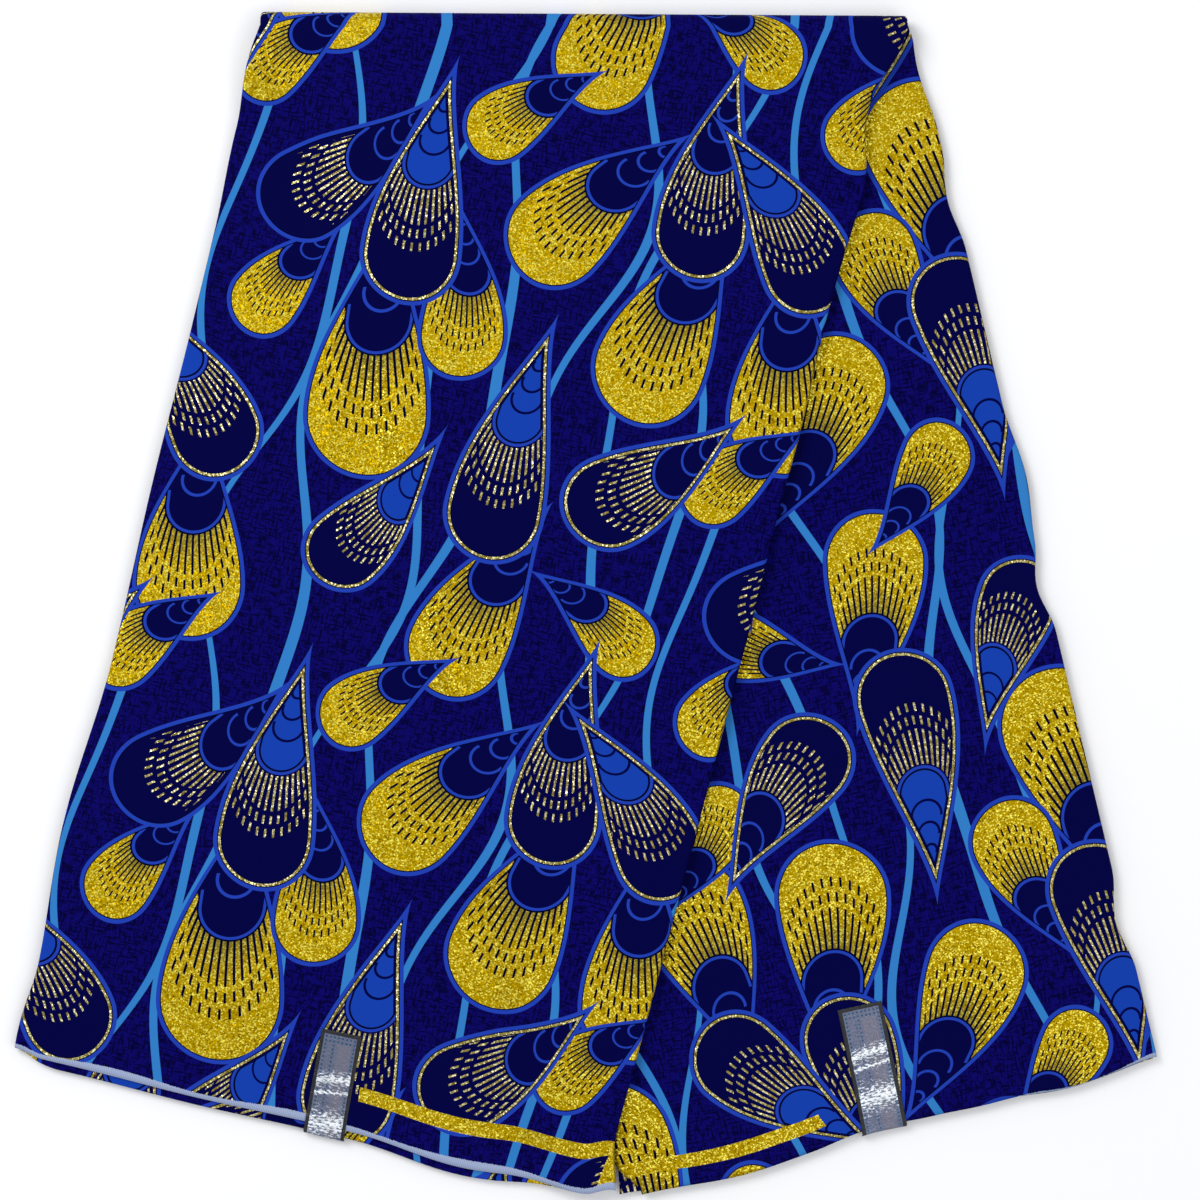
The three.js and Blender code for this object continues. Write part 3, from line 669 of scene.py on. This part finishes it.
def rightCloth():
    entries = acrossEntries(sheetLook["rightColumns"], False, solid["lipRadius"])
    u, inset, drop = entries.T
    grid, printed, edged = [], [], []
    for v in np.linspace(1, sheetLook["rightStart"] / frontLength, sheetLook["rightRows"]):
        plan = rightPlan(u, v, tuckAt(v), inset)
        grid.append(np.stack([plan[:, 0], plan[:, 1], rightTop(u, v) - drop], -1))
        cloth = rightPrint(plan)
        cloth[:, 0] -= sheetLook["lipPrint"] * drop
        printed.append(cloth)
        edged.append(np.stack([u, np.full_like(u, (1 - v) * frontLength)], -1))
    layers = {"print": np.array(printed), "edge": np.array(edged)}
    return clothShell("rightCloth", np.array(grid), layers, rightFinish, sheetLook["clothThickness"])


def leafCloth(name, plan, top, toPrint, peep, uEnd, shift):
    u = np.linspace(0, uEnd, sheetLook["leafColumns"])
    peeping = np.linspace(1, 1 + peep / frontLength, sheetLook["leafPeepRows"])[1:]
    grid, printed, edged = [], [], []
    for v in [*np.linspace(sheetLook["leafTop"], 1, sheetLook["leafRows"]), *peeping]:
        level = min(v, 1)
        shown = ease(u, -0.01, 0.07) * (1 - ease(u, 0.8, 0.93) * (uEnd < 1))
        points = plan(u, 1 + (v - 1) * shown if v > 1 else v)
        z = top(u, level) - sheet
        grid.append(np.stack([points[:, 0], points[:, 1], z], -1))
        printed.append(toPrint(points) + shift)
        edged.append(np.stack([u, np.full_like(u, sheetLook["leafEdge"] + (1 - v) * frontLength)], -1))
    layers = {"print": np.array(printed), "edge": np.array(edged)}
    return clothShell(name, np.array(grid), layers, layerFinish, sheetLook["clothThickness"], flip=True)


front = frontCloth()
right = rightCloth()
besideLip = solid["lipRadius"] + solid["gap"]
frontLeaf = leafCloth("frontLeafCloth", lambda u, v: frontPlan(u, v, besideLip), frontTop, frontPrint,
                      solid["leafPeep"], 0.93, np.array([117.0, 64.0]))
rightLeaf = leafCloth("rightLeafCloth", lambda u, v: rightPlan(u, v, -2, besideLip), rightTop, rightPrint,
                      solid["rightPeep"], 1, np.array([83.0, -41.0]))
print("sheets laid")

# The pile of hidden layers: rounded folds at its sides, cut edges at its hem
pileLook = {
    "layers": 8, "steps": 5, "columns": 56, "rows": 100, "foldInset": 2.5,
    "waves": (190, 83, 41), "unevenness": 1.3, "rollDepth": 0.7, "sideInset": 0.5,
    "hemInset": 0.6, "hemStagger": 1.3, "hemDip": 1.3, "tuckMore": 3, "rightClear": 4,
}


def unevenness(path, seed, size):
    local = np.random.default_rng(seed)
    total = np.zeros_like(path)
    for length in pileLook["waves"]:
        total += np.sin(path / length * 2 * math.pi + local.uniform(0, 6.3)) * local.uniform(0.4, 1)
    return size * np.abs(total) / 2


def pileLevels():
    count, steps = pileLook["layers"], pileLook["steps"]
    levels = []
    for k in range(count):
        for angle in np.linspace(70, -70, steps):
            depth = 1 - math.cos(math.radians(angle))
            levels.append((k, (k + 0.5 - 0.5 * math.sin(math.radians(angle))) / count, depth))
    return levels


def pileMesh(name, cells, ceiling, floor, place, sideOf, shift):
    rows, columns = ceiling.shape
    ring = [(0, i) for i in range(columns - 1)] + [(j, columns - 1) for j in range(rows - 1)]
    ring += [(rows - 1, i) for i in range(columns - 1, 0, -1)] + [(j, 0) for j in range(rows - 1, 0, -1)]
    ringJ, ringI = np.array(ring).T
    start = cells[ringJ, ringI]
    path = np.concatenate([[0], np.cumsum(np.linalg.norm(np.diff(start, axis=0), axis=1))])
    points, printed, edged = [], [], []
    high, low = ceiling[ringJ, ringI], floor[ringJ, ringI]
    for k, share, depth in pileLevels():
        inset = unevenness(path, 40 + k + shift, pileLook["unevenness"]) + depth * pileLook["rollDepth"]
        z = high + (low - high) * share
        xy = place(ringJ, ringI, inset, share)
        points.append(np.column_stack([xy, z]))
        printed.append(np.column_stack([path * 0 + 41 * k + shift + 2 * share, path]))
        white = np.where(sideOf(ringJ, ringI), depth * 2 + (k % 3) * 0.5, 50)
        edged.append(np.column_stack([path * 0, white]))
    count = len(ring)
    levels = len(points)
    faces = []
    k = np.arange(count)
    after = (k + 1) % count
    for level in range(levels - 1):
        a = level * count
        faces.append(np.stack([a + k, a + count + k, a + count + after, a + after], -1))
    points = np.concatenate(points)
    printed, edged = np.concatenate(printed), np.concatenate(edged)
    # Top and bottom faces share the first and last rings
    for topFace in (True, False):
        ids = np.full((rows, columns), -1)
        first = 0 if topFace else (levels - 1) * count
        ids[ringJ, ringI] = first + k
        inner = ids < 0
        ids[inner] = len(points) + np.arange(inner.sum())
        height = (ceiling if topFace else floor)[inner]
        points = np.vstack([points, np.column_stack([cells[inner], height])])
        flatUv = cells[inner] + shift
        printed = np.vstack([printed, flatUv])
        edged = np.vstack([edged, np.full_like(flatUv, 50)])
        quads = np.stack([ids[:-1, :-1], ids[:-1, 1:], ids[1:, 1:], ids[1:, :-1]], -1).reshape(-1, 4)
        faces.append(quads if topFace else quads[:, ::-1])
    return finishMesh(name, points, np.concatenate(faces), {"print": printed, "edge": edged}, layerFinish)


def frontPile():
    v = np.linspace(foldPlace, 1, pileLook["rows"])[:, None]
    u = np.linspace(0, 1, pileLook["columns"])[None, :]
    margin = solid["lipRadius"]
    cells = frontPlan(u, v, margin)
    ceiling = frontTop(u, v) - sheet - pileLook["hemDip"] * ease(v, 0.9, 0.945)
    floor = np.where(v < tailPlace + 0.004, sheet, 0.0) + 0 * u
    radius = foldRadius - sheet
    last = pileLook["rows"] - 1

    def place(j, i, inset, share):
        atSide = (i == 0) | (i == pileLook["columns"] - 1)
        hem = np.where(j == last, pileLook["hemInset"] + inset * pileLook["hemStagger"], 0)
        beside = np.where(atSide, pileLook["sideInset"] + inset, margin)
        beside = beside + np.where(j == 0, pileLook["foldInset"], 0)
        plan = frontPlan(u[0, i], v[j, 0] - hem / frontLength, beside)
        middle = 2 * share - 1
        plan[:, 1] += np.where(j == 0, radius * math.sqrt(max(0, 1 - middle * middle)), 0)
        return plan

    return pileMesh("frontPile", cells, ceiling, floor, place, lambda j, i: j == last, 0)


def pileTuck(v):
    return tuckAt(v) + pileLook["tuckMore"] * (1 - ease(v, 0.9, 0.97))


def rightPile():
    start = (foldRadius + solid["tailLength"] + pileLook["rightClear"]) / frontLength
    v = np.linspace(start, 1, pileLook["rows"])[:, None]
    u = np.linspace(0, 1, pileLook["columns"])[None, :]
    margin = solid["lipRadius"]
    cells = rightPlan(u, v, pileTuck(v), margin)
    ceiling = rightTop(u, v) - sheet - pileLook["hemDip"] * ease(v, 0.9, 0.945)
    floor = 0 * u + 0 * v
    last = pileLook["rows"] - 1

    def place(j, i, inset, share):
        hem = np.where(j == last, pileLook["hemInset"] + inset * pileLook["hemStagger"], 0)
        beside = np.where(i == pileLook["columns"] - 1, pileLook["sideInset"] + inset, margin)
        row = v[j, 0]
        tucked = pileTuck(row) - np.where(i == 0, inset, 0)
        return rightPlan(u[0, i], row - hem / frontLength, tucked, beside)

    return pileMesh("rightPile", cells, ceiling, floor, place, lambda j, i: j == last, 19)


pile = frontPile()
pileRight = rightPile()
print("pile stacked")

# Foil labels
foilLook = {
    "rows": 60, "bendRows": 9, "hangRows": 8, "columns": 34, "lift": 0.3, "thickness": 0.25,
    "margin": 2.0, "border": 0.09, "field": 6.5, "plainField": (0.48, 0.8),
    "dotPitch": 2.2, "dotRadius": 0.27, "dotRows": [(0.1, 0.2), (0.33, 0.43), (0.82, 0.9)],
    # Glints are painted highlight bands: place along the foil and half width
    "glints": [(27, 3.0), (34, 1.2), (51, 6.0)], "slant": 3, "glintLift": 0.16, "bump": 0.5,
}
labels = {
    "frontFoil": {"leftTop": 0.482, "rightTop": 0.55, "leftHem": 0.482, "rightHem": 0.55, "start": 0.917,
                  "peep": solid["leafPeep"], "side": "front", "node": "front_label"},
    "rightFoil": {"leftTop": 0.44, "rightTop": 0.526, "leftHem": 0.43, "rightHem": 0.517, "start": 0.89,
                  "peep": solid["rightPeep"], "side": "right", "node": "right_label"},
}


def foilFinish():
    foil = Finish("silver foil")
    place = foil.uv("foil")
    across, along = foil.split(place)[:2]
    share = foil.split(foil.uv("share"))[0]
    crinkleAndPaintedReflection = foil.noise(foil.vector("MULTIPLY", place, (0.45, 1.0, 1)), 1.0, 4.0, 0.65)
    # Slanted bands of painted highlight, broken up by the crinkles
    slanted = along + share * foilLook["slant"]
    glints = None
    for centre, half in foilLook["glints"]:
        near = 1 - abs(slanted - centre) / half
        glints = near if glints is None else glints.either(near)
    span = {0: crinkleAndPaintedReflection + glints * foilLook["glintLift"], 1: 0.5, 2: 0.68, 3: 0.0, 4: 1.0}
    lit = foil.node("ShaderNodeMapRange", {}, span)
    # The crinkles also lighten and darken the foil's colour: painted reflection and painted shade
    base = foil.mixColour(crinkleAndPaintedReflection, linear(66, 74, 100), linear(128, 134, 156))
    inField = share.between(*foilLook["plainField"]).both(along > foilLook["field"])
    base = foil.mixColour(inField * 0.45, base, linear(126, 122, 134))
    dotX = (across / foilLook["dotPitch"]).fract() - 0.5
    dotY = (along / foilLook["dotPitch"]).fract() - 0.5
    dots = foil.vector("LENGTH", foil.combine(dotX, dotY), out=1) < foilLook["dotRadius"]
    first, second, third = [share.between(*row) for row in foilLook["dotRows"]]
    rows = first.either(second).either(third)
    dots = dots.both(rows.either(along < foilLook["field"]))
    base = foil.mixColour(dots * 0.8, base, linear(14, 76, 112))
    # Painted highlight: near white where the bands and crinkles rise
    base = foil.mixColour(lit, base, linear(244, 250, 255))
    border = (share < foilLook["border"]).either(share > 1 - foilLook["border"])
    border = border.either(along < foilLook["margin"])
    base = foil.mixColour(border, base, linear(15, 17, 24))
    foil.feed("Base Color", base)
    foil.feed("Metallic", foil.mixValue(border, 0.75, 0.2))
    foil.feed("Roughness", foil.mixValue(crinkleAndPaintedReflection, 0.42, 0.16))
    relief = {"Strength": foilLook["bump"], "Distance": 0.0006, "Height": crinkleAndPaintedReflection}
    foil.feed("Normal", foil.node("ShaderNodeBump", {}, relief))
    return foil.material


foilMaterial = foilFinish()


def foilLabel(name, look):
    plan, top = {
        "front": (lambda u, v: frontPlan(u, v, solid["lipRadius"]), frontTop),
        "right": (lambda u, v: rightPlan(u, v, tuckAt(v), solid["lipRadius"]), rightTop),
    }[look["side"]]
    t = np.linspace(0, 1, foilLook["columns"])
    reach = 1 + (look["peep"] + 0.3) / frontLength
    rows = [(v, 0.0, 0.0) for v in np.linspace(look["start"], reach, foilLook["rows"])]
    bend = solid["labelBend"] + 0.3
    for angle in np.linspace(0, 90, foilLook["bendRows"])[1:]:
        c, s = math.cos(math.radians(angle)), math.sin(math.radians(angle))
        rows.append((reach, bend * s, bend * (1 - c)))
    hang = float(top(look["leftHem"], 1.0)) + 0.3 - solid["labelLowest"] - 0.1
    for drop in np.linspace(bend, hang, foilLook["hangRows"])[1:]:
        rows.append((reach, bend, drop))
    starts = plan(look["leftTop"] + (look["rightTop"] - look["leftTop"]) * t, look["start"])[:, 0]
    ends = plan(look["leftHem"] + (look["rightHem"] - look["leftHem"]) * t, reach)[:, 0]
    grid, placed, shared, travelled, before = [], [], [], 0.0, None
    for v, outwards, drop in rows:
        level = min(v, 1.0)
        along = (v - look["start"]) / (reach - look["start"])
        x = starts + (ends - starts) * along
        left, wide = plan(0.0, v)[0], plan(1.0, v)[0]
        u = (x - left) / (wide - left)
        point = plan(u, v)
        wrinkle = 0.28 * np.sin(travelled * 0.55 + 1.4 * np.sin(t * 5)) * ease(travelled, 14, 22)
        wrinkle = wrinkle + 0.22 * np.sin(travelled * 1.5 + 6 * t) * ease(travelled, 30, 42)
        z = top(u, np.full_like(u, level)) + foilLook["lift"] + np.maximum(wrinkle, -0.1) - drop
        row = np.stack([point[:, 0], point[:, 1] - outwards, z], -1)
        if before is not None:
            travelled += float(np.linalg.norm(row[0] - before))
        before = row[0]
        grid.append(row)
        widthNow = float(np.linalg.norm(row[-1] - row[0]))
        placed.append(np.stack([t * widthNow, np.full_like(t, travelled)], -1))
        shared.append(np.stack([t, np.full_like(t, along)], -1))
    layers = {"foil": np.array(placed), "share": np.array(shared)}
    return clothShell(name, np.array(grid), layers, foilMaterial, foilLook["thickness"], flip=True)


foils = {name: foilLabel(name, look) for name, look in labels.items()}
print("labels stuck on")

# Which pieces ride and what they replace
replaced = {
    front: ["front_stretch"], right: ["right_stretch"], frontLeaf: ["front_second_leaf"],
    rightLeaf: ["right_second_leaf"], pile: ["hidden_layers"],
}
for piece in (front, right, frontLeaf, rightLeaf, pile, pileRight):
    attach(piece, "root")
for piece, nodes in replaced.items():
    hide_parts(*nodes)
for name, foil in foils.items():
    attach(foil, "root")
    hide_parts(labels[name]["node"])

# Floor, light and camera
studio = {"floorSize": 8, "centre": (7.05, 2.65), "frameWidth": 636, "lens": 120, "level": 8}
bpy.context.scene.view_settings.view_transform = "Standard"
floorMesh = bpy.data.meshes.new("floor")
half = studio["floorSize"] / 2
floorMesh.from_pydata([(-half, -half, -0.0004), (half, -half, -0.0004), (half, half, -0.0004),
                       (-half, half, -0.0004)], [], [(0, 1, 2, 3)])
floor = bpy.data.objects.new("floor", floorMesh)
bpy.context.scene.collection.objects.link(floor)
paper = Finish("pale floor")
paper.feed("Base Color", (0.86, 0.86, 0.87, 1))
paper.feed("Roughness", 0.9)
floorMesh.materials.append(paper.material)

world = bpy.data.worlds.new("studio")
bpy.context.scene.world = world
world.use_nodes = True
world.node_tree.nodes["Background"].inputs["Color"].default_value = (0.97, 0.98, 1.0, 1)
world.node_tree.nodes["Background"].inputs["Strength"].default_value = 0.75


def softLight(name, place, size, power):
    data = bpy.data.lights.new(name, "AREA")
    data.shape, data.size, data.energy = "SQUARE", size, power
    lamp = bpy.data.objects.new(name, data)
    lamp.location = place
    lamp.rotation_mode = "QUATERNION"
    lamp.rotation_quaternion = (-Vector(place)).to_track_quat("-Z", "Y")
    bpy.context.scene.collection.objects.link(lamp)


softLight("key", (-1.3, 1.2, 1.9), 1.2, 34)
softLight("fill", (1.6, -0.9, 2.2), 1.8, 14)

cameraData = bpy.data.cameras.new("camera")
cameraData.sensor_width = 36
cameraData.lens = studio["lens"]
away = studio["frameWidth"] * studio["lens"] / 36 + studio["level"]
camera = bpy.data.objects.new("camera", cameraData)
camera.location = (studio["centre"][0] * mm, studio["centre"][1] * mm, away * mm)
bpy.context.scene.collection.objects.link(camera)
bpy.context.scene.camera = camera
print("studio set")
